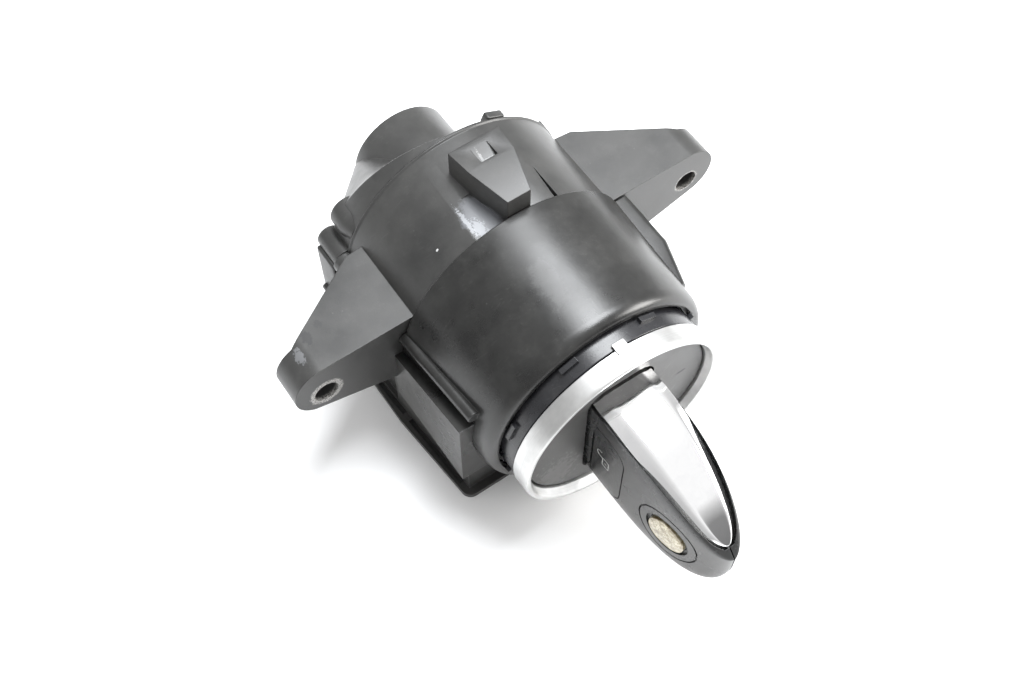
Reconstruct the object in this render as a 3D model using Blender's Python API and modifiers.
"""Ignition switch with its push-in key fob.

A round plastic switch lies on the flat foot of its cradle. Two ears bolt it to the car. The fob goes
into a sprung carrier through the slot in the front plate, and a solenoid bolt locks the carrier.
Units are metres. +Y runs into the switch along the barrel, +Z is up, and the world origin lies on the
foot, under the barrel's axis and in the plane of the ears' front faces. Most pieces are placed from the
barrel's axis, so their depths run along Y from the ears' front plane.
"""

import math

import bmesh
import bpy
from mathutils import Vector

# Clearances.
GAP = 0.0003            # between pieces that are fitted together
SLIDE = 0.0004          # round pieces that slide
FOB_PLAY = 0.0005       # between the fob and its carrier

# Key fob.
FOB_LENGTH = 0.0736
FOB_OUT = 0.0366         # from the front of the ring to the fob's tip
FOB_HALF_X = 0.0079
FOB_TOP = 0.0151
FOB_LOW = 0.0175
FOB_HEEL = 0.0040        # rounding of the end inside the carrier
FOB_SQUARENESS = 7.0     # 2 would make its section an ellipse
FOB_SEAM = 0.00015
FOB_TRIM_THICK = 0.0012
FOB_TRIM_EDGE = 0.0006
FOB_TRIM_SHORT = 0.0024
FOB_TRIM_CROWN = 0.66    # share of a strip's half width that its crown takes
FOB_TRIM_FALL = 0.00135  # the strip's edge lies this much under its crown
FOB_TRIM_BELLY = 0.00095  # and this much more half way to the tip
FOB_TRIM_TIP = 0.00045   # and this much at the tip itself
FOB_WALL = 0.0022
FOB_CAVITY_FRONT = 0.0185
FOB_CAVITY_REAR = 0.0050
FOB_CAVITY_MARGIN = 0.0004  # the cavity reaches this far past the buttons
FOB_CUT_SPARE = 0.005    # cutters reach this far past the fob
BUTTON_TOP = 0.0080
BUTTON_LOW = -0.0138
BUTTON_LENGTH = 0.0096
BUTTON_GAP = 0.0006
BUTTON_FIRST = 0.0096    # from the front of the ring to the tip of the first button, along the fob
BUTTON_PRESS = 0.0007
BUTTON_THICK = 0.0016
BUTTON_CORNER = 0.0040
BADGE_AT = 0.0236        # emblem seat, from the front of the ring
BADGE_Z = -0.0043
BADGE_R = 0.0050
BADGE_MARGIN = 0.0028    # between the emblem and the groove round its seat
BADGE_TURN = math.radians(9.6)
BADGE_THICK = 0.0010
BOARD_F_THICK = 0.0010
BATTERY_R = 0.0100
BATTERY_THICK = 0.0032
BLADE_THICK = 0.0024
BLADE_WIDTH = 0.0066
BLADE_SPARE = 0.0015     # free room behind the blade

# Key carrier and what guides it.
CARRIER_WALL = 0.0015
CARRIER_CORNER = 0.0060
CARRIER_FLOOR = 0.0027
PUSH_TRAVEL = 0.0040
STEM_R = 0.0050
GUIDE_THICK = 0.0025
GUIDE_OFF = 0.0030       # between the coil former and the guide plate
SPRING_ROOM = 0.0095     # between the carrier and the bulkhead
SPRING_WIRE_R = 0.0006
SPRING_TURNS = 4

# Trim ring, face plate and sleeve at the mouth, outwards from the carrier.
COIL_ROOM = 0.00285      # from the carrier's corner to the bore of the ring
RING_WALL = 0.0021
RING_NOSE = 0.0005
RING_LIP = 0.0011
RING_DEPTH = 0.0048
TAB_WIDTH = 0.0040
TAB_REACH = 0.0018
TAB_TURN = math.radians(1.5)
FACE_RECESS = 0.0023
FACE_THICK = 0.0012
FACE_SKIRT = 0.0024
SKIRT_WALL = 0.0009
SLEEVE_SHOWS = 0.0041
SLEEVE_WALL = 0.0017
SLEEVE_FLANGE = 0.0020
LUG_COUNT = 8
LUG_WIDTH = 0.0042
LUG_DEPTH = 0.0012

# Front collar, round the sleeve.
COLLAR_LENGTH = 0.0313
COLLAR_MOUTH_ROOM = 0.00095
COLLAR_ROOM = 0.0016     # between the sleeve and the collar's bore
COLLAR_WALL = 0.0030
COLLAR_DRAFT = 0.00117   # the collar is this much thinner at its nose
COLLAR_NOSE = 0.0031
COLLAR_LIP = 0.0019
CHEEK_PROUD = 0.0010     # the flat cheeks stand out this far from the collar
CHEEK_DRAW = 0.0035      # and are drawn in by this much at their front end
CHEEK_TOP = 0.0118
CHEEK_LOW = 0.0008
CHEEK_ROUND = 0.0013
CHEEK_SUNK = 0.0022
CHEEK_LENGTH = 0.0252
CHEEK_TAPER = 0.0110
WINDOW_LOW = -0.0080     # the window under a cheek or rail reaches down behind the cradle's side
WINDOW_RISE = 0.0055     # on the left its upper edge climbs this much towards the front
RAIL_R = 0.0015
RAIL_SUNK = 0.0002       # the rail's middle lies this far inside the collar's face
RAIL_TURN_REAR = math.radians(167.0)
RAIL_TURN_FRONT = math.radians(161.5)

# Main housing.
BARREL_SHOULDER = 0.0021  # the barrel stands out this far from the collar's bore
BARREL_WALL = 0.0027
BARREL_LENGTH = 0.0244
RIM_WIDTH = 0.0006
RIM_RISE = 0.0002
SPIGOT_LENGTH = 0.0060
SPIGOT_WALL = 0.0019
BULKHEAD_THICK = 0.0025

# Ears.
EAR_REACH = 0.0196       # from the barrel's side to the middle of the hole
EAR_HOLE_Z = 0.0026
EAR_HOLE_R = 0.0028
EAR_RIM = 0.0044         # plastic round the hole
EAR_TOP = 0.0122
EAR_TOP_FALL = 0.0012    # the top edge is this much lower at its outer end
EAR_TOP_OUT = 0.0008     # and ends this far outside the middle of the hole
EAR_LOW_IN = 0.0139      # the lower edge bends this far inside the middle of the hole
EAR_LOW_Z = -0.0073
EAR_ROOT_Z = -0.0095
EAR_SUNK = 0.0021        # the ear's root lies this deep in the barrel
EAR_RELIEF = 0.0006      # the root's front is set back by this much behind the collar
EAR_SHORT = 0.0037       # the ear's root ends this much before the barrel does
EAR_DEPTH_END = 0.0080

# Latch block on the crown of the barrel.
LATCH_X = 0.0012
LATCH_HALF_REAR = 0.0062
LATCH_HALF_CREST = 0.0056
LATCH_HALF_FRONT = 0.0028
LATCH_RISE = 0.0067
LATCH_CREST = 0.0099     # depth of the crest across the block
LATCH_BODY = 0.0067
LATCH_DROP = 0.0012      # the nose of the block is this much lower than its crest
LATCH_FALL = 0.0006      # and its rear end this much
LATCH_ROOT = 0.0012
NOTCH_HALF = 0.0020
NOTCH_DEPTH = 0.0013
NOTCH_BACK = 0.0007      # the notch starts this far behind the crest
POCKET_LEFT = 0.0105
POCKET_RIGHT = 0.0090
POCKET_DEPTH = 0.0015
POCKET_RAMP = 0.0004     # the pocket is this much deeper at the collar
POCKET_SHORT = 0.72      # share of the left pocket's length that the right one has
SLIT_X = 0.0088          # from the latch to the slit beside its right pocket
SLIT_WIDTH = 0.0011
SLIT_DEPTH = 0.0038

# Rear cover.
COVER_LENGTH = 0.0231
COVER_WALL = 0.0025
COVER_LIP_LENGTH = 0.0037
COVER_LIP_WALL = 0.0022
COVER_LEDGE = 0.0004     # the straight side of the cover where it is shortest
COVER_LEAN = 0.2300      # the side grows by this share of the way to the left
FLARE_STEP = 0.0002      # the flare meets the boss this far out from its side
FLARE_LEAN = 1.7300      # the boss starts that much deeper towards the left
BOSS_R = 0.0122
LOBE_SWELL = 0.0011      # the first lobe grows by this much away from the barrel
LOBE_EDGE = 0.0007
FLANK_LENGTH = 0.0073
LOBES = ((154.0, -0.0029, 0.0043, 0.0078), (170.2, 0.0002, 0.0029, 0.0083))
RIM_PAD = 0.0060         # the barrel's rim swells over this length in front of the second lobe
RIM_PAD_OUT = 0.0006
STUD = (-161.5, 0.00533)
STUD_R = 0.0010
FLANK_PROUD = 0.0035
FLANK_TOP = 0.0040
FLANK_LOW = -0.0120
CLIP_TURNS = (64.0, 23.0)
CLIP_RISE = 0.0006
SOCKET_HALF_X = 0.0075
SOCKET_HALF_Z = 0.0042
SOCKET_DEPTH = 0.0100
SOCKET_WALL = 0.0012

# Cradle under the barrel.
BED_THICK = 0.0015       # plastic between the collar's bed and the ground
CRADLE_PROUD = 0.0004    # the cradle's rear end stands out this far from the cheeks
CRADLE_DRAW = 0.0021
CRADLE_TOP = -0.0035
CRADLE_SHORT = 0.0082    # the cradle starts this far behind the collar's front
CRADLE_LENGTH = 0.0380
FOOT_PROUD = 0.0016      # the foot stands this far out at each side
FOOT_THICK = 0.0014
FOOT_CORNER = 0.0024
FOOT_SHOWS = 0.0019      # the foot stands this far out in front
FOOT_SLOT = 0.0010       # width of the slots through the foot beside the cradle
FOOT_WEB = 0.0011        # half the web between two such slots
FOOT_SLOT_FRONT = 0.0022
FOOT_SLOT_REAR = 0.0026
SIDE_STEP = 0.0009       # the cradle's side steps in by this much behind the ear's root
SIDE_STEP_AT = 0.0043
SIDE_STEP_TOP = -0.0165
SIDE_STEP_LOW = -0.0285
SIDE_NOTCH = 0.0030
CRADLE_SETBACK = 0.0042  # the pockets under the cradle's sides start this far inside them
CRADLE_POCKET = 0.0080
CRADLE_WALL = 0.0020

# Light guide and reader coil round the slot.
LIGHT_WIDTH = 0.0008
LIGHT_THICK = 0.0014
FORMER_LENGTH = 0.0078
FORMER_CORE_WALL = 0.00065
FORMER_WALL = 0.0009
COIL_THICK = 0.0009

# Solenoid that locks the carrier.
SOLENOID_WALL = 0.0012
SOLENOID_HALF_Z = 0.0055
SOLENOID_ROOM = 0.0020   # between the solenoid and the collar's bore
SOLENOID_WIDTH = 0.0120
SOLENOID_OFF = 0.0017    # between the carrier and the solenoid
BOLT_R = 0.0018

# Micro switches.
MICRO_LENGTH = 0.0120
MICRO_WIDTH = 0.0065
MICRO_HEIGHT = 0.0055
MICRO_APART = 0.0049
MICRO_NUB_R = 0.0008
MICRO_NUB = 0.0012       # the nub stands out this far

# Circuit board, its screws and the contact pins.
BOARD_PLAY = 0.0006
BOARD_THICK = 0.0016
BOARD_ROOM = 0.0029      # between the board and the cover's lip
POST_R = 0.0030
POST_IN = 0.0091         # from the housing's bore to the middle of a post
POST_Z = -0.0110
SCREW_R = 0.0011
SCREW_HEAD_R = 0.0025
SCREW_HEAD = 0.0016
SCREW_SPARE = 0.0009
PIN_COUNT = 4
PIN_PITCH = 0.0032
PIN_R = 0.0006
PIN_SHOWS = 0.0040

# Sizes that follow from the ones above, from the fob outwards.
POCKET_X = FOB_HALF_X + FOB_PLAY
POCKET_Z = (FOB_TOP + FOB_LOW) / 2 + FOB_PLAY
POCKET_MIDDLE = (FOB_TOP - FOB_LOW) / 2
CARRIER_X = POCKET_X + CARRIER_WALL
CARRIER_Z = POCKET_Z + CARRIER_WALL
CARRIER_CORNER_REACH = CARRIER_CORNER + math.hypot(
    CARRIER_X - CARRIER_CORNER,
    CARRIER_Z + abs(POCKET_MIDDLE) - CARRIER_CORNER,
)
RING_BORE_R = CARRIER_CORNER_REACH + COIL_ROOM
RING_R = RING_BORE_R + RING_WALL
RING_FRONT_R = RING_R - RING_NOSE
RING_LIP_R = RING_R - RING_LIP
FACE_R = RING_BORE_R - GAP
SLEEVE_BORE_R = FACE_R + GAP
SLEEVE_R = SLEEVE_BORE_R + SLEEVE_WALL
COLLAR_MOUTH_R = SLEEVE_R + COLLAR_MOUTH_ROOM
COLLAR_BORE_R = SLEEVE_R + COLLAR_ROOM
COLLAR_R = COLLAR_BORE_R + COLLAR_WALL
COLLAR_NOSE_R = COLLAR_R - COLLAR_DRAFT
CHEEK_REACH = COLLAR_R + CHEEK_PROUD
CHEEK_END_REACH = CHEEK_REACH - CHEEK_DRAW
CHEEK_ROOT = COLLAR_BORE_R - CHEEK_SUNK
BARREL_R = COLLAR_BORE_R + BARREL_SHOULDER
HOUSING_BORE_R = BARREL_R - BARREL_WALL
EAR_HOLE_X = BARREL_R + EAR_REACH
EAR_END_R = EAR_HOLE_R + EAR_RIM
EAR_TOP_END_X = EAR_HOLE_X + EAR_TOP_OUT
EAR_TOP_END = EAR_TOP - EAR_TOP_FALL
EAR_LOW_X = EAR_HOLE_X - EAR_LOW_IN
EAR_ROOT_X = BARREL_R - EAR_SUNK
EAR_DEPTH_ROOT = BARREL_LENGTH - EAR_SHORT
LATCH_TOP = BARREL_R + LATCH_RISE
LATCH_REAR = LATCH_CREST + LATCH_BODY
POCKET_FLOOR = BARREL_R - POCKET_DEPTH
COVER_R = BARREL_R - GAP
FLARE_RADIUS = BOSS_R + FLARE_STEP
FLANK_X = COVER_R + FLANK_PROUD
CRADLE_HALF = CHEEK_REACH + CRADLE_PROUD
CRADLE_HALF_FRONT = CRADLE_HALF - CRADLE_DRAW
FOOT_HALF = CRADLE_HALF + FOOT_PROUD
FOOT_HALF_FRONT = CRADLE_HALF_FRONT + FOOT_PROUD
AXIS_HEIGHT = COLLAR_R + GAP + BED_THICK
FORMER_CORE_R = CARRIER_CORNER_REACH + SLIDE + FORMER_CORE_WALL
SOLENOID_X = -CARRIER_X - SOLENOID_OFF
SOLENOID_LENGTH = COLLAR_BORE_R - SOLENOID_ROOM + SOLENOID_X
BOARD_R = HOUSING_BORE_R - BOARD_PLAY
POST_X = HOUSING_BORE_R - POST_IN
BADGE_SEAT_R = BADGE_R + BADGE_MARGIN
BUTTON_PITCH = BUTTON_LENGTH + BUTTON_GAP
FOB_CAVITY_X = FOB_HALF_X - FOB_WALL
FOB_CAVITY_LOW = FOB_CAVITY_MARGIN - BUTTON_LOW
FOB_CAVITY_TOP = FOB_CAVITY_MARGIN + BUTTON_TOP

# Depths along the barrel, from the front to the rear.
COLLAR_BACK = -GAP
COLLAR_FRONT = COLLAR_BACK - COLLAR_LENGTH
RING_BACK = COLLAR_FRONT - SLEEVE_SHOWS
RING_FRONT = RING_BACK - RING_DEPTH
FACE_FRONT = RING_FRONT + FACE_RECESS
FACE_BACK = FACE_FRONT + FACE_THICK
FOB_TIP = RING_FRONT - FOB_OUT
FOB_END = FOB_TIP + FOB_LENGTH
CARRIER_FRONT = FACE_BACK + GAP
CARRIER_INNER_END = FOB_END + GAP
CARRIER_BACK = CARRIER_INNER_END + CARRIER_FLOOR
BULKHEAD_AT = CARRIER_BACK + SPRING_ROOM
BULKHEAD_BACK = BULKHEAD_AT + BULKHEAD_THICK
CRADLE_FRONT = COLLAR_FRONT + CRADLE_SHORT
COVER_FRONT = BARREL_LENGTH + GAP
BOSS_REAR = COVER_FRONT + COVER_LENGTH
BOARD_AT = COVER_FRONT - COVER_LIP_LENGTH - BOARD_ROOM - BOARD_THICK
GUIDE_AT = FACE_BACK + FACE_SKIRT + GAP + FORMER_LENGTH + GUIDE_OFF
SOLENOID_Y = GUIDE_AT + GUIDE_THICK + GAP
BOLT_Y = SOLENOID_Y + SOLENOID_WIDTH / 2

STEPS_LARGE = 48
STEPS_MEDIUM = 32
STEPS_SMALL = 16


def clear_scene():
    for old in list(bpy.data.objects):
        bpy.data.objects.remove(old, do_unlink=True)


def new_collection(name):
    made = bpy.data.collections.new(name)
    bpy.context.scene.collection.children.link(made)
    return made


def new_material(name, colour, roughness, metallic=0.0):
    made = bpy.data.materials.new(name)
    made.use_nodes = True
    shader = made.node_tree.nodes["Principled BSDF"]
    shader.inputs["Base Color"].default_value = (*colour, 1.0)
    shader.inputs["Roughness"].default_value = roughness
    shader.inputs["Metallic"].default_value = metallic
    return made


clear_scene()
PARTS = new_collection("IgnitionSwitch")
CUTTERS = new_collection("IgnitionSwitchCutters")
CUTTERS.hide_render = True

HOUSING_BLACK = new_material("housing_black", (0.045, 0.046, 0.048), 0.42)
COLLAR_BLACK = new_material("collar_black", (0.035, 0.036, 0.038), 0.36)
SLEEVE_BLACK = new_material("sleeve_black", (0.015, 0.015, 0.016), 0.30)
SATIN_METAL = new_material("satin_metal", (0.78, 0.78, 0.79), 0.32, 1.0)
FACE_BLACK = new_material("face_black", (0.030, 0.030, 0.031), 0.45)
CLEAR_PLASTIC = new_material("clear_plastic", (0.75, 0.77, 0.80), 0.20)
INNER_PLASTIC = new_material("inner_plastic", (0.10, 0.10, 0.11), 0.50)
COPPER = new_material("copper_wire", (0.60, 0.27, 0.12), 0.35, 1.0)
SPRING_STEEL = new_material("spring_steel", (0.55, 0.56, 0.58), 0.30, 1.0)
ZINC_STEEL = new_material("zinc_steel", (0.62, 0.62, 0.60), 0.38, 1.0)
BOARD_GREEN = new_material("board_green", (0.03, 0.16, 0.07), 0.40)
SWITCH_BODY = new_material("switch_body", (0.05, 0.05, 0.06), 0.50)
FOB_BLACK = new_material("fob_black", (0.020, 0.020, 0.021), 0.34)
FOB_CHROME = new_material("fob_chrome", (0.88, 0.88, 0.89), 0.07, 1.0)
BADGE_CREAM = new_material("badge_cream", (0.62, 0.55, 0.38), 0.35)


def new_empty(name, location, parent=None):
    made = bpy.data.objects.new(name, None)
    made.empty_display_size = 0.01
    made.location = location
    made.parent = parent
    PARTS.objects.link(made)
    return made


SWITCH = new_empty("switch_origin", (0, 0, 0))
AXIS = new_empty("barrel_axis", (0, 0, AXIS_HEIGHT), SWITCH)
CARRIER_AXIS = new_empty("carrier_slide_axis", (0, CARRIER_BACK, 0), AXIS)
FOB_AXIS = new_empty("fob_slide_axis", (0, RING_FRONT, 0), AXIS)


def own(obj, name, material, parent=AXIS, smooth=True):
    """Names a finished piece, gives it its material and puts it with the parts."""
    obj.name = name
    obj.data.name = name
    obj.data.materials.clear()
    obj.data.materials.append(material)
    for other in list(obj.users_collection):
        other.objects.unlink(obj)
    PARTS.objects.link(obj)
    obj.parent = parent
    if parent is not AXIS:
        obj.location = obj.location - (parent.location if parent.parent is AXIS else Vector())
    if smooth:
        obj.data.shade_smooth()
        obj.data.set_sharp_from_angle(angle=math.radians(35))
    return obj


def helper(obj, name):
    """A cutter, or a shape that is joined to a piece, is left out of the render."""
    obj.name = name
    obj.hide_render = True
    obj.display_type = "WIRE"
    for other in list(obj.users_collection):
        other.objects.unlink(obj)
    CUTTERS.objects.link(obj)
    obj.parent = AXIS
    return obj


def boolean(target, other, operation):
    step = target.modifiers.new(operation.lower() + "_" + other.name, "BOOLEAN")
    step.operation = operation
    step.solver = "EXACT"
    step.object = other
    return step


def cut(target, other):
    return boolean(target, other, "DIFFERENCE")


def join(target, other):
    return boolean(target, other, "UNION")


def keep_common(target, other):
    return boolean(target, other, "INTERSECT")


def turned(profile, steps=STEPS_LARGE, start=0.0):
    """A ring turned about the barrel's axis from a closed (radius, depth) profile.

    The profile runs down its outer side, from the rear to the front, and back up inside.
    """
    mesh = bpy.data.meshes.new("turned")
    shape = bmesh.new()
    corners = [shape.verts.new((radius, 0.0, depth)) for radius, depth in profile]
    for first, second in zip(corners, corners[1:] + corners[:1]):
        shape.edges.new((first, second))
    shape.to_mesh(mesh)
    shape.free()
    obj = bpy.data.objects.new("turned", mesh)
    CUTTERS.objects.link(obj)
    obj.rotation_euler = (-math.pi / 2, 0.0, 0.0)
    obj.location = (0.0, start, 0.0)
    screw = obj.modifiers.new("turn", "SCREW")
    screw.axis = "Z"
    screw.angle = 2 * math.pi
    screw.steps = steps
    screw.render_steps = steps
    screw.use_merge_vertices = True
    screw.merge_threshold = 0.00001
    return obj


def rod(radius, start, end, x=0.0, z=0.0, steps=STEPS_SMALL, along="Y"):
    """A cylinder between two stations along Y, or along X when told so."""
    bpy.ops.mesh.primitive_cylinder_add(vertices=steps, radius=radius, depth=end - start)
    obj = bpy.context.active_object
    middle = (start + end) / 2
    if along == "Y":
        obj.rotation_euler = (-math.pi / 2, 0.0, 0.0)
        obj.location = (x, middle, z)
    else:
        obj.rotation_euler = (0.0, math.pi / 2, 0.0)
        obj.location = (middle, x, z)
    return obj


def block(low, high, bevel=0.0, segments=2):
    """A box between two corners, with its scale applied before any bevel."""
    bpy.ops.mesh.primitive_cube_add(size=1.0)
    obj = bpy.context.active_object
    size = [b - a for a, b in zip(low, high)]
    for vertex in obj.data.vertices:
        vertex.co = [c * s for c, s in zip(vertex.co, size)]
    obj.location = [(a + b) / 2 for a, b in zip(low, high)]
    if bevel:
        edge = obj.modifiers.new("edge", "BEVEL")
        edge.width = bevel
        edge.segments = segments
        edge.limit_method = "ANGLE"
    return obj


def arc(centre, radius, first, last, count):
    """Points along an arc, the angles in degrees."""
    turns = [math.radians(first + (last - first) * i / count) for i in range(count + 1)]
    return [(centre[0] + radius * math.cos(t), centre[1] + radius * math.sin(t)) for t in turns]


def rounded(corners, count=5):
    """An outline from (x, y, radius) corners, with each corner filleted."""
    points = []
    for i, (x, y, radius) in enumerate(corners):
        here = Vector((x, y))
        if radius <= 0:
            points.append((x, y))
            continue
        before = (Vector(corners[i - 1][:2]) - here).normalized()
        after = (Vector(corners[(i + 1) % len(corners)][:2]) - here).normalized()
        half = before.angle(after) / 2
        centre = here + (before + after).normalized() * (radius / math.sin(half))
        start = here + before * (radius / math.tan(half)) - centre
        end = here + after * (radius / math.tan(half)) - centre
        first = math.atan2(start.y, start.x)
        sweep = (math.atan2(end.y, end.x) - first + math.pi) % (2 * math.pi) - math.pi
        for k in range(count + 1):
            turn = first + sweep * k / count
            points.append((centre.x + radius * math.cos(turn), centre.y + radius * math.sin(turn)))
    return points


def fob_opening(half_x, half_z, radius):
    """A rounded oblong round the fob's section, which reaches lower than it rises."""
    return rounded(
        [
            (-half_x, POCKET_MIDDLE - half_z, radius),
            (half_x, POCKET_MIDDLE - half_z, radius),
            (half_x, POCKET_MIDDLE + half_z, radius),
            (-half_x, POCKET_MIDDLE + half_z, radius),
        ]
    )


TURN_TO = {
    "Y": (math.pi / 2, 0.0, 0.0),
    "Z": (0.0, 0.0, 0.0),
    "X": (math.pi / 2, 0.0, math.pi / 2),
}


def extruded(points, start, end, along="Y"):
    """A flat outline made solid between two stations: XZ along Y, XY along Z, YZ along X."""
    curve = bpy.data.curves.new("outline", "CURVE")
    curve.dimensions = "2D"
    curve.fill_mode = "BOTH"
    curve.extrude = (end - start) / 2
    spline = curve.splines.new("POLY")
    spline.points.add(len(points) - 1)
    for point, (u, v) in zip(spline.points, points):
        point.co = (u, v, 0.0, 1.0)
    spline.use_cyclic_u = True
    outline = bpy.data.objects.new("outline", curve)
    CUTTERS.objects.link(outline)
    middle = (start + end) / 2
    outline.rotation_euler = TURN_TO[along]
    outline.location = {"Y": (0, middle, 0), "Z": (0, 0, middle), "X": (middle, 0, 0)}[along]
    return as_mesh(outline)


def as_mesh(curve_object, weld=0.000001):
    """The mesh that a curve object makes, its caps welded to its sides."""
    bpy.context.view_layer.update()
    graph = bpy.context.evaluated_depsgraph_get()
    mesh = bpy.data.meshes.new_from_object(curve_object.evaluated_get(graph))
    shape = bmesh.new()
    shape.from_mesh(mesh)
    bmesh.ops.remove_doubles(shape, verts=shape.verts, dist=weld)
    bmesh.ops.recalc_face_normals(shape, faces=shape.faces)
    shape.to_mesh(mesh)
    shape.free()
    obj = bpy.data.objects.new("solid", mesh)
    CUTTERS.objects.link(obj)
    obj.location = curve_object.location
    obj.rotation_euler = curve_object.rotation_euler
    old = curve_object.data
    bpy.data.objects.remove(curve_object, do_unlink=True)
    bpy.data.curves.remove(old)
    return obj


def lofted(rings):
    """A solid skinned over rings of equally many points, with a flat cap on the first and last."""
    shape = bmesh.new()
    loops = [[shape.verts.new(point) for point in ring] for ring in rings]
    count = len(rings[0])
    for near, far in zip(loops, loops[1:]):
        for i in range(count):
            j = (i + 1) % count
            shape.faces.new((near[i], near[j], far[j], far[i]))
    shape.faces.new(list(reversed(loops[0])))
    shape.faces.new(loops[-1])
    bmesh.ops.recalc_face_normals(shape, faces=shape.faces)
    mesh = bpy.data.meshes.new("lofted")
    shape.to_mesh(mesh)
    shape.free()
    obj = bpy.data.objects.new("lofted", mesh)
    CUTTERS.objects.link(obj)
    return obj


def mirrored_points(points):
    return [(-x, y) for x, y in reversed(points)]


def make_trim_ring():
    ring = turned(
        [
            (RING_R, RING_BACK),
            (RING_R, RING_FRONT + 0.0016),
            (RING_R - 0.00015, RING_FRONT + 0.0006),
            (RING_FRONT_R, RING_FRONT),
            (RING_LIP_R, RING_FRONT),
            (RING_LIP_R - 0.0003, RING_FRONT + 0.0003),
            (RING_BORE_R, RING_FRONT + 0.0019),
            (RING_BORE_R, RING_BACK),
        ],
    )
    reach = RING_R + 0.0003
    tab = block(
        (-TAB_WIDTH / 2, RING_BACK - 0.0012, SLEEVE_R + GAP),
        (TAB_WIDTH / 2, RING_BACK + TAB_REACH, reach),
    )
    middle = tab.location.copy()
    tab.rotation_euler = (0.0, TAB_TURN, 0.0)
    tab.location = (middle.z * math.sin(TAB_TURN), middle.y, middle.z * math.cos(TAB_TURN))
    own(ring, "trim_ring", SATIN_METAL)
    join(ring, helper(tab, "tab_shape"))


def make_face_plate():
    plate = turned(
        [
            (FACE_R, FACE_BACK + FACE_SKIRT),
            (FACE_R, FACE_FRONT),
            (POCKET_X * 0.5, FACE_FRONT),
            (POCKET_X * 0.5, FACE_BACK),
            (FACE_R - SKIRT_WALL, FACE_BACK),
            (FACE_R - SKIRT_WALL, FACE_BACK + FACE_SKIRT),
        ],
    )
    slot = extruded(
        fob_opening(POCKET_X, POCKET_Z, CARRIER_CORNER - CARRIER_WALL),
        FACE_FRONT - 0.002,
        FACE_BACK + 0.002,
    )
    own(plate, "face_plate", FACE_BLACK)
    cut(plate, helper(slot, "fob_slot"))


def make_bezel_sleeve():
    front = RING_BACK + GAP
    flange_front = COLLAR_FRONT + COLLAR_LIP + GAP
    flange_back = flange_front + SLEEVE_FLANGE
    sleeve = turned(
        [
            (COLLAR_BORE_R - GAP, flange_back),
            (COLLAR_BORE_R - GAP, flange_front),
            (SLEEVE_R, flange_front),
            (SLEEVE_R, front),
            (SLEEVE_BORE_R, front),
            (SLEEVE_BORE_R, flange_back),
        ],
    )
    own(sleeve, "bezel_sleeve", SLEEVE_BLACK)
    for index in range(LUG_COUNT):
        turn = math.radians(360.0 / LUG_COUNT * (index + 0.5))
        lug = block(
            (-LUG_WIDTH / 2, COLLAR_FRONT - GAP - LUG_DEPTH, SLEEVE_R - 0.0008),
            (LUG_WIDTH / 2, COLLAR_FRONT - GAP, COLLAR_MOUTH_R),
        )
        reach = lug.location.z
        lug.location = (reach * math.sin(turn), lug.location.y, reach * math.cos(turn))
        lug.rotation_euler = (0.0, turn, 0.0)
        join(sleeve, helper(lug, "sleeve_lug_%d" % (index + 1)))


def cheek_section(side, reach, depth):
    """A section of a cheek, its outer top edge rounded."""
    outline = rounded(
        [
            (side * CHEEK_ROOT, CHEEK_LOW, 0.0),
            (side * reach, CHEEK_LOW, 0.0),
            (side * reach, CHEEK_TOP, CHEEK_ROUND),
            (side * CHEEK_ROOT, CHEEK_TOP, 0.0),
        ],
        count=4,
    )
    return [(x, depth, z) for x, z in outline]


def cheek_shape(side):
    """The flat cheek on the right of the collar, straight by the ear and drawn in to its front end."""
    return lofted(
        [
            cheek_section(side, CHEEK_REACH, COLLAR_BACK),
            cheek_section(side, CHEEK_REACH, COLLAR_BACK - CHEEK_LENGTH + CHEEK_TAPER),
            cheek_section(side, CHEEK_END_REACH, COLLAR_BACK - CHEEK_LENGTH),
        ]
    )


def side_rail():
    """The rounded rail on the left of the collar; it climbs a little towards the front."""
    rings = []
    reach = COLLAR_R - RAIL_SUNK
    front = COLLAR_BACK - CHEEK_LENGTH
    for depth, turn in ((COLLAR_BACK, RAIL_TURN_REAR), (front, RAIL_TURN_FRONT)):
        centre = (reach * math.cos(turn), reach * math.sin(turn))
        rings.append([(x, depth, z) for x, z in arc(centre, RAIL_R, 0.0, 330.0, 11)])
    return lofted(rings)


def side_window(side, rise):
    """The long window through the collar's side, open at the housing's end of the collar."""
    near = side * (COLLAR_BORE_R - CHEEK_SUNK)
    far = side * (CHEEK_REACH + CHEEK_PROUD)
    rings = []
    for depth, top in ((COLLAR_BACK + 0.001, CHEEK_LOW), (COLLAR_BACK - CHEEK_LENGTH, CHEEK_LOW + rise)):
        corners = ((near, WINDOW_LOW), (far, WINDOW_LOW), (far, top), (near, top))
        rings.append([(x, depth, z) for x, z in corners])
    return lofted(rings)


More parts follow.
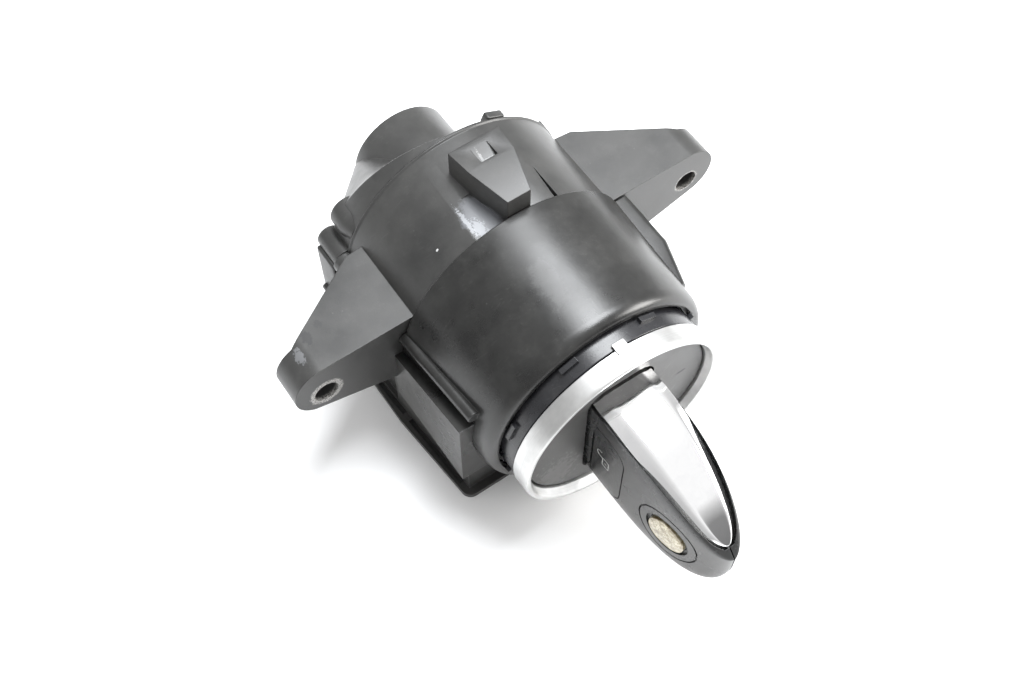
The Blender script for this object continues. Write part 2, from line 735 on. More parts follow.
def make_front_collar():
    bore = COLLAR_BORE_R
    lip_back = COLLAR_FRONT + COLLAR_LIP
    shoulder = COLLAR_FRONT + COLLAR_NOSE
    collar = turned(
        [
            (COLLAR_R, COLLAR_BACK),
            (COLLAR_NOSE_R, shoulder),
            (COLLAR_NOSE_R - 0.0002, COLLAR_FRONT + COLLAR_NOSE * 0.62),
            (COLLAR_NOSE_R - 0.0008, COLLAR_FRONT + COLLAR_NOSE * 0.30),
            (COLLAR_NOSE_R - 0.0017, COLLAR_FRONT + COLLAR_NOSE * 0.07),
            (COLLAR_MOUTH_R + 0.0004, COLLAR_FRONT),
            (COLLAR_MOUTH_R, COLLAR_FRONT + 0.0003),
            (COLLAR_MOUTH_R, lip_back + 0.0005),
            (COLLAR_MOUTH_R - 0.0004, lip_back + 0.0005),
            (COLLAR_MOUTH_R - 0.0004, COLLAR_BACK),
        ],
    )
    own(collar, "front_collar", COLLAR_BLACK)
    join(collar, helper(cheek_shape(1), "cheek_right"))
    join(collar, helper(side_rail(), "rail_left"))
    cut(collar, helper(side_window(1, 0.0), "window_right"))
    cut(collar, helper(side_window(-1, WINDOW_RISE), "window_left"))
    inside = rod(bore, lip_back, COLLAR_BACK + 0.001, steps=STEPS_LARGE)
    cut(collar, helper(inside, "collar_inside"))


def ear_outline(side):
    """Front view of an ear: a level top, a fall to the round end, and a straight lower edge."""
    centre = (EAR_HOLE_X, EAR_HOLE_Z)
    end = arc(centre, EAR_END_R, 42.0, -82.0, 12)
    fall = []
    for k in range(1, 5):
        share = k / 5
        fall.append(
            (
                EAR_TOP_END_X + (end[0][0] - EAR_TOP_END_X) * share,
                EAR_TOP_END + (end[0][1] - EAR_TOP_END) * share - 0.0006 * math.sin(math.pi * share),
            )
        )
    outline = [(EAR_ROOT_X, EAR_TOP), (EAR_TOP_END_X, EAR_TOP_END)] + fall + end
    outline += [(EAR_LOW_X, EAR_LOW_Z), (EAR_ROOT_X, EAR_ROOT_Z)]
    return outline if side > 0 else mirrored_points(outline)


def ear_plan(side):
    """Top view of an ear: deep at the barrel and shallow at its end."""
    outer = EAR_HOLE_X + EAR_END_R + 0.002
    shoulder = EAR_TOP_END_X - 0.0002
    outline = [
        (EAR_ROOT_X - 0.002, EAR_RELIEF),
        (CHEEK_REACH + GAP, EAR_RELIEF),
        (CHEEK_REACH + GAP, 0.0),
        (outer, 0.0),
        (outer, EAR_DEPTH_END),
        (shoulder, EAR_DEPTH_END),
        (EAR_ROOT_X + 0.0034, EAR_DEPTH_ROOT),
        (EAR_ROOT_X - 0.002, EAR_DEPTH_ROOT + 0.0004),
    ]
    return outline if side > 0 else mirrored_points(outline)


def add_ear(housing, side, word):
    ear = helper(extruded(ear_outline(side), -0.001, EAR_DEPTH_ROOT + 0.002), "ear_" + word)
    plan = helper(extruded(ear_plan(side), -0.02, 0.02, along="Z"), "ear_plan_" + word)
    keep_common(ear, plan)
    hole = rod(EAR_HOLE_R, -0.002, EAR_DEPTH_ROOT + 0.002, side * EAR_HOLE_X, EAR_HOLE_Z, 24)
    cut(ear, helper(hole, "ear_hole_" + word))
    join(housing, ear)


def latch_outline():
    return [
        (LATCH_X - LATCH_HALF_FRONT, 0.0),
        (LATCH_X + LATCH_HALF_FRONT, 0.0),
        (LATCH_X + LATCH_HALF_CREST, LATCH_CREST),
        (LATCH_X + LATCH_HALF_REAR, LATCH_REAR),
        (LATCH_X - LATCH_HALF_REAR, LATCH_REAR),
        (LATCH_X - LATCH_HALF_CREST, LATCH_CREST),
    ]


def latch_block():
    """The block on the crown: it falls from a crest to its nose and to its rear, with a ramped notch."""
    root = math.sqrt(BARREL_R**2 - LATCH_HALF_REAR**2) - LATCH_ROOT
    sides = [
        (-0.001, root),
        (-0.001, LATCH_TOP - LATCH_DROP),
        (LATCH_CREST, LATCH_TOP),
        (LATCH_REAR + 0.001, LATCH_TOP - LATCH_FALL),
        (LATCH_REAR + 0.001, root),
    ]
    reach = LATCH_HALF_REAR + 0.001
    latch = helper(extruded(sides, LATCH_X - reach, LATCH_X + reach, along="X"), "latch_shape")
    plan = extruded(latch_outline(), root - 0.001, LATCH_TOP + 0.001, along="Z")
    keep_common(latch, helper(plan, "latch_plan"))
    notch = [
        (LATCH_CREST + NOTCH_BACK, LATCH_TOP + 0.001),
        (LATCH_CREST + NOTCH_BACK, LATCH_TOP - NOTCH_DEPTH),
        (LATCH_REAR, LATCH_TOP),
        (LATCH_REAR, LATCH_TOP + 0.001),
    ]
    shape = extruded(notch, LATCH_X - NOTCH_HALF, LATCH_X + NOTCH_HALF, along="X")
    cut(latch, helper(shape, "latch_notch"))
    return latch


def latch_pocket(start, end, length):
    """A pocket beside the latch, its floor ramped down towards the collar."""
    sides = [
        (-0.001, POCKET_FLOOR - POCKET_RAMP),
        (length, POCKET_FLOOR),
        (length, BARREL_R + 0.002),
        (-0.001, BARREL_R + 0.002),
    ]
    return extruded(sides, start, end, along="X")


def add_latch(housing):
    left = latch_pocket(LATCH_X - POCKET_LEFT, LATCH_X, LATCH_CREST)
    right = latch_pocket(LATCH_X - 0.0005, LATCH_X + POCKET_RIGHT, LATCH_CREST * POCKET_SHORT)
    cut(housing, helper(left, "latch_pocket_left"))
    cut(housing, helper(right, "latch_pocket_right"))
    slit_x = LATCH_X + SLIT_X
    slit = [(slit_x, -0.001), (slit_x + SLIT_WIDTH, -0.001), (slit_x + SLIT_WIDTH, LATCH_CREST)]
    shape = extruded(slit, BARREL_R - SLIT_DEPTH, BARREL_R + 0.001, along="Z")
    cut(housing, helper(shape, "latch_slit"))
    join(housing, latch_block())


def post_spots():
    return ((-POST_X, POST_Z), (POST_X, POST_Z))


def make_main_housing():
    bore = HOUSING_BORE_R
    spigot_r = COLLAR_BORE_R - GAP
    rim = BARREL_LENGTH - RIM_WIDTH
    housing = turned(
        [
            (BARREL_R + RIM_RISE, BARREL_LENGTH),
            (BARREL_R + RIM_RISE, rim),
            (BARREL_R, rim - RIM_RISE),
            (BARREL_R, 0.0),
            (spigot_r, 0.0),
            (spigot_r, -SPIGOT_LENGTH),
            (spigot_r - SPIGOT_WALL, -SPIGOT_LENGTH),
            (spigot_r - SPIGOT_WALL, 0.0),
            (bore, 0.0015),
            (bore, BULKHEAD_AT),
            (STEM_R + SLIDE, BULKHEAD_AT),
            (STEM_R + SLIDE, BULKHEAD_BACK),
            (bore, BULKHEAD_BACK),
            (bore, BARREL_LENGTH),
        ],
    )
    own(housing, "main_housing", HOUSING_BLACK)
    add_ear(housing, -1, "left")
    add_ear(housing, 1, "right")
    add_latch(housing)
    turn, proud, radius, _ = LOBES[1]
    pad = rod(radius, BARREL_LENGTH - RIM_PAD, BARREL_LENGTH, *round_cover(turn, proud + RIM_PAD_OUT), 20)
    join(housing, helper(pad, "rim_pad"))
    for index, (x, z) in enumerate(post_spots()):
        post = rod(POST_R, BULKHEAD_BACK - 0.001, BOARD_AT - GAP, x, z)
        join(housing, helper(post, "board_post_%d" % (index + 1)))
        pilot = rod(SCREW_R + GAP, BULKHEAD_BACK + 0.0002, BOARD_AT + 0.001, x, z)
        cut(housing, helper(pilot, "board_post_pilot_%d" % (index + 1)))


def cover_ring(radius, depth, lean=0.0, count=48):
    """One ring of the rear cover; with a lean it lies deeper the further it is to the left."""
    points = []
    for i in range(count):
        turn = 2 * math.pi * i / count
        x = radius * math.cos(turn)
        z = radius * math.sin(turn)
        points.append((x, depth + lean * max(-x, 0.0), z))
    return points


def lobe_shape(centre, radius, length, swell):
    """A rounded lobe along the cover's side, softened at its rear end."""
    stations = (
        (COVER_FRONT, radius - swell),
        (COVER_FRONT + length * 0.4, radius),
        (COVER_FRONT + length - LOBE_EDGE, radius),
        (COVER_FRONT + length, radius - LOBE_EDGE),
    )
    return lofted([[(x, depth, z) for x, z in arc(centre, size, 0.0, 345.0, 23)] for depth, size in stations])


def make_rear_cover():
    crease = COVER_FRONT + COVER_LEDGE
    foot = crease + 0.0010
    cover = lofted(
        [
            cover_ring(COVER_R, COVER_FRONT),
            cover_ring(COVER_R, crease, COVER_LEAN),
            cover_ring(FLARE_RADIUS, foot, FLARE_LEAN),
            cover_ring(BOSS_R, BOSS_REAR),
        ]
    )
    own(cover, "rear_cover", HOUSING_BLACK)
    lip = turned(
        [
            (HOUSING_BORE_R - GAP, COVER_FRONT + COVER_LEDGE / 2),
            (HOUSING_BORE_R - GAP, COVER_FRONT - COVER_LIP_LENGTH),
            (HOUSING_BORE_R - GAP - COVER_LIP_WALL, COVER_FRONT - COVER_LIP_LENGTH),
            (HOUSING_BORE_R - GAP - COVER_LIP_WALL, COVER_FRONT + COVER_LEDGE / 2),
        ],
    )
    join(cover, helper(lip, "cover_lip"))
    for index, (turn, proud, radius, length) in enumerate(LOBES):
        swell = LOBE_SWELL if index == 0 else 0.0
        lobe = lobe_shape(round_cover(turn, proud), radius, length, swell)
        join(cover, helper(lobe, "cover_lobe_%d" % (index + 1)))
    flank = block(
        (-FLANK_X, COVER_FRONT, FLANK_LOW),
        (-COVER_R * 0.82, COVER_FRONT + FLANK_LENGTH, FLANK_TOP),
        bevel=0.0006,
    )
    join(cover, helper(flank, "cover_flank"))
    stud_end = COVER_FRONT + FLANK_LENGTH - 0.0012
    stud = rod(STUD_R, COVER_FRONT + 0.0010, stud_end, *round_cover(*STUD), 12)
    join(cover, helper(stud, "cover_stud"))
    for index, turn in enumerate(CLIP_TURNS):
        clip = block(
            (COVER_R - 0.002, COVER_FRONT, -0.0024),
            (COVER_R + CLIP_RISE, COVER_FRONT + 0.0020, 0.0024),
            bevel=0.0004,
        )
        reach = clip.location.x
        angle = math.radians(turn)
        clip.location = (reach * math.cos(angle), clip.location.y, reach * math.sin(angle))
        clip.rotation_euler = (0.0, -angle, 0.0)
        join(cover, helper(clip, "cover_clip_%d" % (index + 1)))
    inner = lofted(
        [
            cover_ring(COVER_R - COVER_WALL - 0.0024, COVER_FRONT - 0.02, count=28),
            cover_ring(COVER_R - COVER_WALL - 0.0024, crease - COVER_WALL, count=28),
            cover_ring(BOSS_R - COVER_WALL, crease - COVER_WALL, FLARE_LEAN * 0.7, count=28),
            cover_ring(BOSS_R - COVER_WALL, BOSS_REAR - SOCKET_DEPTH - COVER_WALL, count=28),
        ]
    )
    cut(cover, helper(inner, "cover_inside"))
    floor = BOSS_REAR - SOCKET_DEPTH
    tube = block(
        (-SOCKET_HALF_X - SOCKET_WALL, floor - 0.002, -SOCKET_HALF_Z - SOCKET_WALL),
        (SOCKET_HALF_X + SOCKET_WALL, BOSS_REAR - 0.001, SOCKET_HALF_Z + SOCKET_WALL),
    )
    join(cover, helper(tube, "socket_tube"))
    hollow = block(
        (-SOCKET_HALF_X, floor, -SOCKET_HALF_Z),
        (SOCKET_HALF_X, BOSS_REAR + 0.002, SOCKET_HALF_Z),
    )
    cut(cover, helper(hollow, "socket_hollow"))
    for index, x in enumerate(pin_spots()):
        hole = rod(PIN_R + GAP, floor - 0.004, floor + 0.001, x, 0.0, 12)
        cut(cover, helper(hole, "pin_hole_%d" % (index + 1)))


def round_cover(turn, proud):
    """A spot beside the cover: its turn in degrees, and how far it lies outside the cover's radius."""
    reach = COVER_R + proud
    return reach * math.cos(math.radians(turn)), reach * math.sin(math.radians(turn))


def pin_spots():
    return [(i - (PIN_COUNT - 1) / 2) * PIN_PITCH for i in range(PIN_COUNT)]


def make_contact_pins():
    start = BOARD_AT + BOARD_THICK + GAP
    end = BOSS_REAR - SOCKET_DEPTH + PIN_SHOWS
    for index, x in enumerate(pin_spots()):
        pin = rod(PIN_R, start, end, x, 0.0, 10)
        own(pin, "contact_pin_%d" % (index + 1), COPPER)


def make_circuit_board():
    board = rod(BOARD_R, BOARD_AT, BOARD_AT + BOARD_THICK, steps=STEPS_MEDIUM)
    own(board, "circuit_board", BOARD_GREEN)
    for index, (x, z) in enumerate(post_spots()):
        hole = rod(SCREW_R + GAP, BOARD_AT - 0.001, BOARD_AT + 0.003, x, z)
        cut(board, helper(hole, "board_hole_%d" % (index + 1)))


def make_board_screws():
    top = BOARD_AT + BOARD_THICK + GAP
    for index, (x, z) in enumerate(post_spots()):
        screw = rod(SCREW_HEAD_R, top, top + SCREW_HEAD, x, z)
        shank = rod(SCREW_R, BULKHEAD_BACK + SCREW_SPARE, top + SCREW_HEAD / 2, x, z, 12)
        own(screw, "board_screw_%d" % (index + 1), ZINC_STEEL)
        join(screw, helper(shank, "board_screw_shank_%d" % (index + 1)))


def cradle_half(depth):
    """Half the cradle's width at a depth: it narrows towards the front."""
    share = (depth - CRADLE_FRONT) / CRADLE_LENGTH
    return CRADLE_HALF_FRONT + (CRADLE_HALF - CRADLE_HALF_FRONT) * share


def cradle_section(depth):
    half = cradle_half(depth)
    low = -AXIS_HEIGHT + FOOT_THICK / 2
    corners = ((half, low), (half, CRADLE_TOP), (-half, CRADLE_TOP), (-half, low))
    return [(x, depth, z) for x, z in corners]


def foot_slot(side, start, end):
    """A slot through the foot, close beside the cradle's side."""
    inner = 0.0003
    near = [(side * (cradle_half(y) - inner), y) for y in (start, end)]
    far = [(side * (cradle_half(y) + FOOT_SLOT), y) for y in (end, start)]
    return extruded(near + far, -AXIS_HEIGHT - 0.001, -AXIS_HEIGHT + FOOT_THICK + inner, along="Z")


def make_base_cradle():
    end = CRADLE_FRONT + CRADLE_LENGTH
    cradle = lofted([cradle_section(CRADLE_FRONT), cradle_section(end)])
    own(cradle, "base_cradle", HOUSING_BLACK, smooth=False)
    front = CRADLE_FRONT - FOOT_SHOWS
    plan = rounded(
        [
            (-FOOT_HALF_FRONT, front, FOOT_CORNER),
            (FOOT_HALF_FRONT, front, FOOT_CORNER),
            (FOOT_HALF, 0.0, 0.0),
            (FOOT_HALF, end, 0.0),
            (-FOOT_HALF, end, 0.0),
            (-FOOT_HALF, 0.0, 0.0),
        ]
    )
    foot = extruded(plan, -AXIS_HEIGHT, -AXIS_HEIGHT + FOOT_THICK, along="Z")
    join(cradle, helper(foot, "cradle_foot"))
    seat = COLLAR_R + GAP
    bed = rod(seat, CRADLE_FRONT - 0.002, end + 0.002, steps=STEPS_LARGE)
    cut(cradle, helper(bed, "cradle_bed"))
    under_ears = block(
        (-CRADLE_HALF - 0.001, -GAP, EAR_ROOT_Z - GAP),
        (CRADLE_HALF + 0.001, end + 0.002, 0.0),
    )
    cut(cradle, helper(under_ears, "cradle_under_ears"))
    for side, word in ((-1, "left"), (1, "right")):
        cut_cradle_side(cradle, side, word)


def cut_cradle_side(cradle, side, word):
    """The slots, the stepped-in rear and the hollow of one side of the cradle."""
    end = CRADLE_FRONT + CRADLE_LENGTH
    front_slot = foot_slot(side, CRADLE_FRONT + FOOT_SLOT_FRONT, -FOOT_WEB)
    cut(cradle, helper(front_slot, "foot_slot_front_" + word))
    rear_slot = foot_slot(side, FOOT_WEB, end - FOOT_SLOT_REAR)
    cut(cradle, helper(rear_slot, "foot_slot_rear_" + word))
    face = cradle_half(SIDE_STEP_AT)
    near, far = sorted((side * (face - SIDE_STEP), side * (FOOT_HALF + 0.002)))
    step = block((near, SIDE_STEP_AT, SIDE_STEP_LOW), (far, end + 0.002, SIDE_STEP_TOP))
    cut(cradle, helper(step, "cradle_step_" + word))
    near, far = sorted((side * (face - SIDE_NOTCH), side * (FOOT_HALF + 0.002)))
    notch = block(
        (near, SIDE_STEP_AT + 0.0005, SIDE_STEP_TOP - SIDE_NOTCH),
        (far, SIDE_STEP_AT + SIDE_NOTCH, SIDE_STEP_TOP - 0.0005),
    )
    cut(cradle, helper(notch, "cradle_notch_" + word))
    outer = CRADLE_HALF_FRONT - CRADLE_SETBACK
    low = -AXIS_HEIGHT + FOOT_THICK + 0.0006
    near, far = sorted((side * (outer - CRADLE_POCKET), side * outer))
    pocket = block(
        (near, CRADLE_FRONT + CRADLE_WALL, low),
        (far, end + 0.002, low + CRADLE_POCKET * 1.3),
    )
    cut(cradle, helper(pocket, "cradle_pocket_" + word))


def make_guide_plate():
    plate = rod(COLLAR_BORE_R - GAP, GUIDE_AT, GUIDE_AT + GUIDE_THICK, steps=STEPS_LARGE)
    window = extruded(
        fob_opening(CARRIER_X + SLIDE, CARRIER_Z + SLIDE, CARRIER_CORNER),
        GUIDE_AT - 0.002,
        GUIDE_AT + GUIDE_THICK + 0.002,
    )
    own(plate, "guide_plate", INNER_PLASTIC)
    cut(plate, helper(window, "guide_window"))


def make_key_carrier():
    body = extruded(
        fob_opening(CARRIER_X, CARRIER_Z, CARRIER_CORNER), CARRIER_FRONT, CARRIER_BACK
    )
    own(body, "key_carrier", INNER_PLASTIC, CARRIER_AXIS)
    pocket = extruded(
        fob_opening(POCKET_X, POCKET_Z, CARRIER_CORNER - CARRIER_WALL),
        CARRIER_FRONT - 0.002,
        CARRIER_INNER_END,
    )
    cut(body, helper(pocket, "carrier_pocket"))
    stem = rod(STEM_R, CARRIER_BACK - 0.001, BULKHEAD_BACK - GAP, steps=32)
    join(body, helper(stem, "carrier_stem"))
    play = BOLT_R + SLIDE
    slot = block(
        (-CARRIER_X - 0.001, BOLT_Y - play - PUSH_TRAVEL, -play),
        (-POCKET_X + 0.001, BOLT_Y + play, play),
    )
    cut(body, helper(slot, "bolt_slot"))


def make_return_spring():
    """A compression spring round the carrier's stem, from the carrier's back to the bulkhead."""
    first = CARRIER_BACK + GAP + SPRING_WIRE_R
    last = BULKHEAD_AT - GAP - SPRING_WIRE_R
    radius = STEM_R + SLIDE * 2 + SPRING_WIRE_R
    count = SPRING_TURNS * 12
    curve = bpy.data.curves.new("spring", "CURVE")
    curve.dimensions = "3D"
    curve.bevel_depth = SPRING_WIRE_R
    curve.bevel_resolution = 1
    curve.use_fill_caps = True
    spline = curve.splines.new("POLY")
    spline.points.add(count)
    for i, point in enumerate(spline.points):
        share = i / count
        turn = 2 * math.pi * SPRING_TURNS * share
        point.co = (
            radius * math.cos(turn),
            first + (last - first) * share,
            radius * math.sin(turn),
            1.0,
        )
    spring = bpy.data.objects.new("spring", curve)
    CUTTERS.objects.link(spring)
    own(as_mesh(spring), "return_spring", SPRING_STEEL)


def make_light_guide():
    inner = CARRIER_CORNER_REACH + SLIDE
    front = FACE_BACK + GAP
    guide = turned(
        [
            (inner + LIGHT_WIDTH, front + LIGHT_THICK),
            (inner + LIGHT_WIDTH, front),
            (inner, front),
            (inner, front + LIGHT_THICK),
        ],
        STEPS_MEDIUM,
    )
    own(guide, "light_guide", CLEAR_PLASTIC)


def make_reader_coil():
    """The antenna coil that reads the fob, on its plastic former inside the sleeve."""
    inner = CARRIER_CORNER_REACH + SLIDE
    outer = SLEEVE_BORE_R - GAP
    front = FACE_BACK + FACE_SKIRT + GAP
    back = front + FORMER_LENGTH
    former = turned(
        [
            (outer, back),
            (outer, back - FORMER_WALL),
            (FORMER_CORE_R, back - FORMER_WALL),
            (FORMER_CORE_R, front + FORMER_WALL),
            (outer, front + FORMER_WALL),
            (outer, front),
            (inner, front),
            (inner, back),
        ],
        STEPS_MEDIUM,
    )
    own(former, "coil_former", INNER_PLASTIC)
    coil_in = FORMER_CORE_R + GAP
    coil = turned(
        [
            (coil_in + COIL_THICK, back - FORMER_WALL - GAP),
            (coil_in + COIL_THICK, front + FORMER_WALL + GAP),
            (coil_in, front + FORMER_WALL + GAP),
            (coil_in, back - FORMER_WALL - GAP),
        ],
        STEPS_MEDIUM,
    )
    own(coil, "reader_coil", COPPER)


def make_solenoid():
    """A folded steel frame round a coil, whose bolt slides into the carrier's side."""
    right = SOLENOID_X
    left = right - SOLENOID_LENGTH
    near = SOLENOID_Y
    far = near + SOLENOID_WIDTH
    frame = block((left, near, -SOLENOID_HALF_Z), (right, far, SOLENOID_HALF_Z))
    own(frame, "solenoid_frame", ZINC_STEEL, smooth=False)
    inside = block(
        (left + SOLENOID_WALL, near + SOLENOID_WALL, -SOLENOID_HALF_Z - 0.001),
        (right - SOLENOID_WALL, far - SOLENOID_WALL, SOLENOID_HALF_Z + 0.001),
    )
    cut(frame, helper(inside, "solenoid_frame_inside"))
    guide = rod(BOLT_R + SLIDE, right - SOLENOID_WALL - 0.001, right + 0.001, BOLT_Y, along="X")
    cut(frame, helper(guide, "solenoid_frame_hole"))
    radius = SOLENOID_WIDTH / 2 - SOLENOID_WALL - GAP
    first = left + SOLENOID_WALL + GAP
    last = right - SOLENOID_WALL - GAP
    coil = rod(radius, first, last, BOLT_Y, steps=28, along="X")
    own(coil, "solenoid_coil", COPPER)
    bore = rod(BOLT_R + SLIDE, first + 0.001, last + 0.001, BOLT_Y, along="X")
    cut(coil, helper(bore, "solenoid_coil_bore"))
    bolt = rod(BOLT_R, first + 0.001 + GAP, -CARRIER_X - SLIDE, BOLT_Y, along="X")
    own(bolt, "lock_plunger", ZINC_STEEL)


def make_microswitches():
    """One switch feels that the fob is in, the other that it is pushed."""
    near = GUIDE_AT + GUIDE_THICK + GAP
    x = CARRIER_X + SLIDE + MICRO_NUB
    for side, name in ((-1, "microswitch_fob_in"), (1, "microswitch_start")):
        z = side * (MICRO_APART + MICRO_HEIGHT) / 2
        body = block(
            (x, near, z - MICRO_HEIGHT / 2),
            (x + MICRO_WIDTH, near + MICRO_LENGTH, z + MICRO_HEIGHT / 2),
            bevel=0.0003,
        )
        own(body, name, SWITCH_BODY, smooth=False)
        nub = rod(MICRO_NUB_R, CARRIER_X + SLIDE, x + 0.001, near + MICRO_LENGTH * 0.35, z, 12, "X")
        join(body, helper(nub, name + "_nub"))


def fob_share(y):
    """How far a station lies from the slot towards the tip, from 0 to 1."""
    return min(max((RING_FRONT - y) / FOB_OUT, 0.0), 1.0)


def fob_heel(y):
    """The rounding of the end inside the carrier, 1 away from it."""
    share = min(max((y - (FOB_END - FOB_HEEL)) / FOB_HEEL, 0.0), 1.0)
    return 0.80 + 0.20 * math.sqrt(max(1.0 - share**2, 0.0))


def fob_half_width(y):
    return FOB_HALF_X * (1.0 - fob_share(y) ** 3.1) ** (1 / 1.8) * fob_heel(y)


def fob_top(y):
    return FOB_TOP * (1.0 - fob_share(y) ** 2.4) ** (1 / 1.1) * fob_heel(y)


def fob_low(y):
    return FOB_LOW * (1.0 - fob_share(y) ** 4.9) ** (1 / 3.9) * fob_heel(y)


def fob_stations():
    """Stations along the fob, closer together towards its two ends."""
    tip = [FOB_TIP + FOB_OUT * (1 - math.cos(math.radians(a))) for a in range(6, 91, 7)]
    back = [FOB_END - FOB_HEEL * (1 - math.sin(math.radians(a))) for a in (0, 30, 60, 90)]
    return tip + [FOB_END - FOB_LENGTH * 0.28] + back


def fob_ring(y, count=28):
    """A rounded oblong section of the fob."""
    half_x = max(fob_half_width(y), 0.0002)
    points = []
    for i in range(count):
        turn = 2 * math.pi * (i + 0.5) / count
        cosine = math.cos(turn)
        sine = math.sin(turn)
        height = max(fob_top(y) if sine > 0 else fob_low(y), 0.0002)
        points.append(
            (
                math.copysign(half_x * abs(cosine) ** (2 / FOB_SQUARENESS), cosine),
                y,
                math.copysign(height * abs(sine) ** (2 / FOB_SQUARENESS), sine),
            )
        )
    return points


def fob_form():
    return lofted([fob_ring(y) for y in fob_stations()])


def trim_half(y):
    """Half the width of a bright strip: nearly as wide as the fob, with a round end at the tip."""
    front = FOB_TIP + FOB_TRIM_SHORT
    share = min(max((RING_FRONT - y) / (RING_FRONT - front), 0.0), 1.0)
    return (FOB_HALF_X - FOB_TRIM_EDGE) * max(1.0 - share**2.3, 0.0) ** (1 / 2.1)


def trim_fall(y):
    """How far the edge of a strip lies under its crown."""
    share = fob_share(y)
    belly = FOB_TRIM_BELLY * math.sin(math.pi * min(share / 0.9, 1.0)) ** 1.5
    tip = (FOB_TRIM_FALL - FOB_TRIM_TIP) * max(share - 0.75, 0.0) / 0.25
    return FOB_TRIM_FALL + belly - tip


def trim_line(y, side, less):
    """The section of a strip's face: an almost flat crown between two straight flanks."""
    crown = FOB_TRIM_CROWN
    height = fob_top(y) if side > 0 else fob_low(y)
    line = []
    for share in (-1.0, -crown, -crown / 2, 0.0, crown / 2, crown, 1.0):
        flank = 0.9 * max(abs(share) - crown, 0.0) / (1.0 - crown)
        fall = trim_fall(y) * (0.1 * share**2 + flank)
        line.append((share, side * (height - fall - less)))
    return line


def trim_stations():
    front = FOB_TIP + FOB_TRIM_SHORT
    span = RING_FRONT - front
    tip = [RING_FRONT - span * math.sin(math.radians(a)) for a in (88, 82, 75, 67, 59, 50, 41, 32, 22, 11, 0)]
    return tip + [FOB_END - FOB_HEEL - 0.001]


def make_fob_trim(side, name):
    """A bright strip, bent out of one thickness of sheet."""
    rings = []
    for y in trim_stations():
        half = trim_half(y)
        face = [(half * share, y, z) for share, z in trim_line(y, side, 0.0)]
        back = [(half * share, y, z) for share, z in trim_line(y, side, FOB_TRIM_THICK)]
        rings.append(face + back[::-1])
    own(lofted(rings), name, FOB_CHROME, FOB_AXIS)


def trim_bed(side):
    """The space that a strip and the gap round it take out of the shells."""
    rings = []
    high = side * (FOB_LOW + FOB_CUT_SPARE)
    for y in trim_stations():
        half = trim_half(y)
        wall = trim_half(y + GAP) + GAP
        floor = [(half * share, y, z) for share, z in trim_line(y, side, FOB_TRIM_THICK + GAP)]
        edge = floor[0][2]
        left = [(-wall, y, high), (-wall, y, edge)]
        right = [(wall, y, edge), (wall, y, high)]
        rings.append(left + floor + right)
    nose = [(x, y - GAP, z) for x, y, z in rings[0]]
    end = [(x, y + GAP, z) for x, y, z in rings[-1]]
    return lofted([nose] + rings + [end])


def button_stations():
    first = RING_FRONT - BUTTON_FIRST
    names = ("unlock_button", "lock_button", "boot_button")
    return [(name, first + i * BUTTON_PITCH) for i, name in enumerate(names)]


def button_outline(front, more=0.0):
    """Side view of a button, its front corners rounded more than its rear ones."""
    rear = front + BUTTON_LENGTH
    return rounded(
        [
            (front - more, BUTTON_LOW - more, BUTTON_CORNER + more),
            (rear + more, BUTTON_LOW - more, 0.0008 + more),
            (rear + more, BUTTON_TOP + more, 0.0008 + more),
            (front - more, BUTTON_TOP + more, BUTTON_CORNER + more),
        ]
    )


def make_buttons():
    """Three buttons in a row on the left face; two of them lie inside the carrier."""
    for name, front in button_stations():
        button = fob_form()
        own(button, name, FOB_BLACK, FOB_AXIS)
        plan = extruded(button_outline(front), -FOB_LOW, -FOB_HALF_X + BUTTON_THICK, along="X")
        keep_common(button, helper(plan, name + "_plan"))


def badge_disc(radius, low, high, steps):
    """A disc square to the left face at the emblem's seat, between two depths below the face."""
    y = RING_FRONT - BADGE_AT
    face = fob_half_width(y)
    disc = rod(radius, low, high, steps=steps, along="X")
    middle = (low + high) / 2
    disc.rotation_euler = (0.0, math.pi / 2, BADGE_TURN)
    disc.location = (
        -face + middle * math.cos(BADGE_TURN),
        y + middle * math.sin(BADGE_TURN),
        BADGE_Z,
    )
    return disc


def cut_badge_seat(shell):
    """A round bed for the disc, and a fine circular groove round it."""
    bed = badge_disc(BADGE_R + GAP, -0.004, BADGE_THICK + GAP, 32)
    cut(shell, helper(bed, "badge_bed"))
    groove = helper(badge_disc(BADGE_SEAT_R, -0.004, 0.0005, 40), "badge_groove")
    core = helper(badge_disc(BADGE_SEAT_R - 0.0004, -0.005, 0.0020, 40), "badge_groove_core")
    cut(groove, core)
    cut(shell, groove)


def make_fob_shell(side, name):
    shell = fob_form()
    own(shell, name, FOB_BLACK, FOB_AXIS)
    reach = FOB_LOW + FOB_CUT_SPARE
    low, high = sorted((side * FOB_SEAM, side * reach))
    half = block((low, FOB_TIP - FOB_CUT_SPARE, -reach), (high, FOB_END + FOB_CUT_SPARE, reach))
    keep_common(shell, helper(half, name + "_half"))
    for way, word in ((1, "top"), (-1, "low")):
        cut(shell, helper(trim_bed(way), "%s_%s_bed" % (name, word)))
    cavity = block(
        (-FOB_CAVITY_X, FOB_TIP + FOB_CAVITY_FRONT, -FOB_CAVITY_LOW),
        (FOB_CAVITY_X, FOB_END - FOB_CAVITY_REAR, FOB_CAVITY_TOP),
    )
    cut(shell, helper(cavity, name + "_cavity"))
    if side > 0:
        return
    for word, front in button_stations():
        outline = button_outline(front, GAP)
        window = extruded(outline, -FOB_LOW, -FOB_CAVITY_X + 0.001, along="X")
        cut(shell, helper(window, word + "_window"))
    cut_badge_seat(shell)


def make_badge():
    disc = badge_disc(BADGE_R, 0.0, BADGE_THICK, 32)
    own(disc, "fob_emblem_disc", BADGE_CREAM, FOB_AXIS)


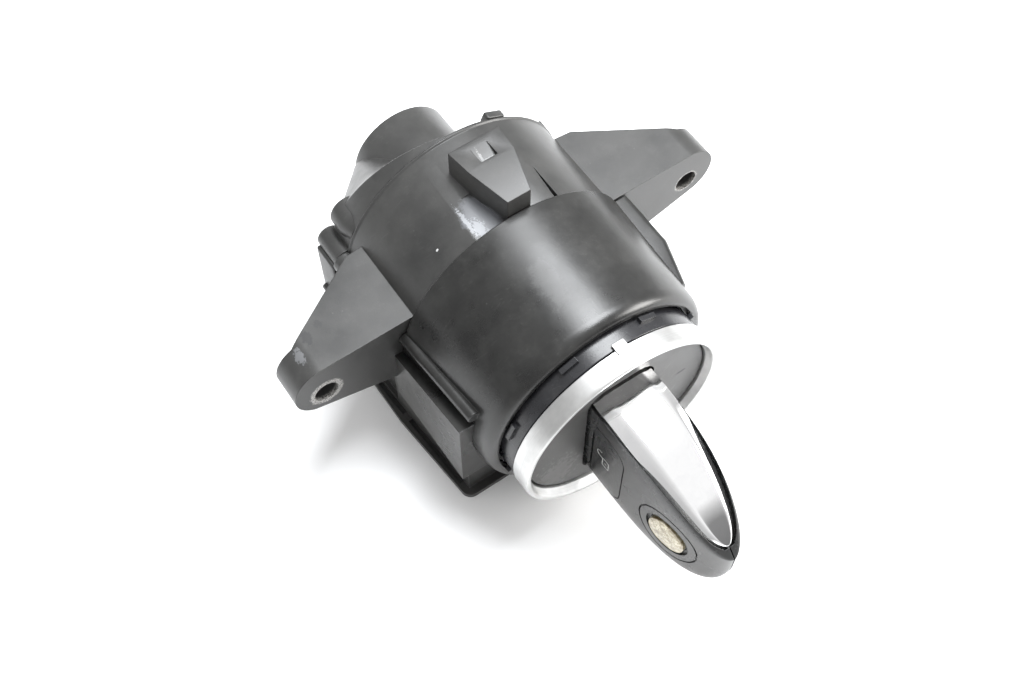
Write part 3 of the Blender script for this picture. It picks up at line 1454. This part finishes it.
def make_fob_inside():
    """The fob's circuit board under the buttons, its coin cell and the emergency key blade."""
    back = FOB_END - FOB_CAVITY_REAR - GAP
    front = FOB_TIP + FOB_CAVITY_FRONT + GAP
    left = -FOB_HALF_X + BUTTON_THICK + BUTTON_PRESS + GAP
    board = block(
        (left, front + 0.002, -FOB_CAVITY_LOW + GAP),
        (left + BOARD_F_THICK, back, FOB_CAVITY_TOP - GAP),
    )
    own(board, "fob_board", BOARD_GREEN, FOB_AXIS, smooth=False)
    cell_x = left + BOARD_F_THICK + GAP
    cell_y = back - BATTERY_R - 0.004
    cell_z = -FOB_CAVITY_LOW + BATTERY_R + GAP
    cell = rod(BATTERY_R, cell_x, cell_x + BATTERY_THICK, cell_y, cell_z, 36, "X")
    own(cell, "fob_battery", ZINC_STEEL, FOB_AXIS)
    blade_x = FOB_CAVITY_X - GAP - BLADE_THICK
    blade_length = back - front - BLADE_SPARE
    middle = (FOB_CAVITY_TOP - FOB_CAVITY_LOW) / 2
    blade = block(
        (blade_x, front, middle - BLADE_WIDTH / 2),
        (blade_x + BLADE_THICK, front + blade_length, middle + BLADE_WIDTH / 2),
        bevel=0.0004,
    )
    own(blade, "fob_blade", SPRING_STEEL, FOB_AXIS, smooth=False)
    track = block(
        (blade_x + 0.0010, front - 0.001, middle - 0.0006),
        (blade_x + BLADE_THICK + 0.001, front + blade_length * 0.7, middle + 0.0006),
    )
    cut(blade, helper(track, "blade_track"))


def build():
    make_main_housing()
    make_front_collar()
    make_bezel_sleeve()
    make_trim_ring()
    make_face_plate()
    make_light_guide()
    make_reader_coil()
    make_guide_plate()
    make_key_carrier()
    make_return_spring()
    make_solenoid()
    make_microswitches()
    make_circuit_board()
    make_board_screws()
    make_contact_pins()
    make_rear_cover()
    make_base_cradle()
    make_fob_shell(-1, "fob_shell_left")
    make_fob_shell(1, "fob_shell_right")
    make_fob_trim(1, "fob_trim_top")
    make_fob_trim(-1, "fob_trim_bottom")
    make_badge()
    make_buttons()
    make_fob_inside()


build()
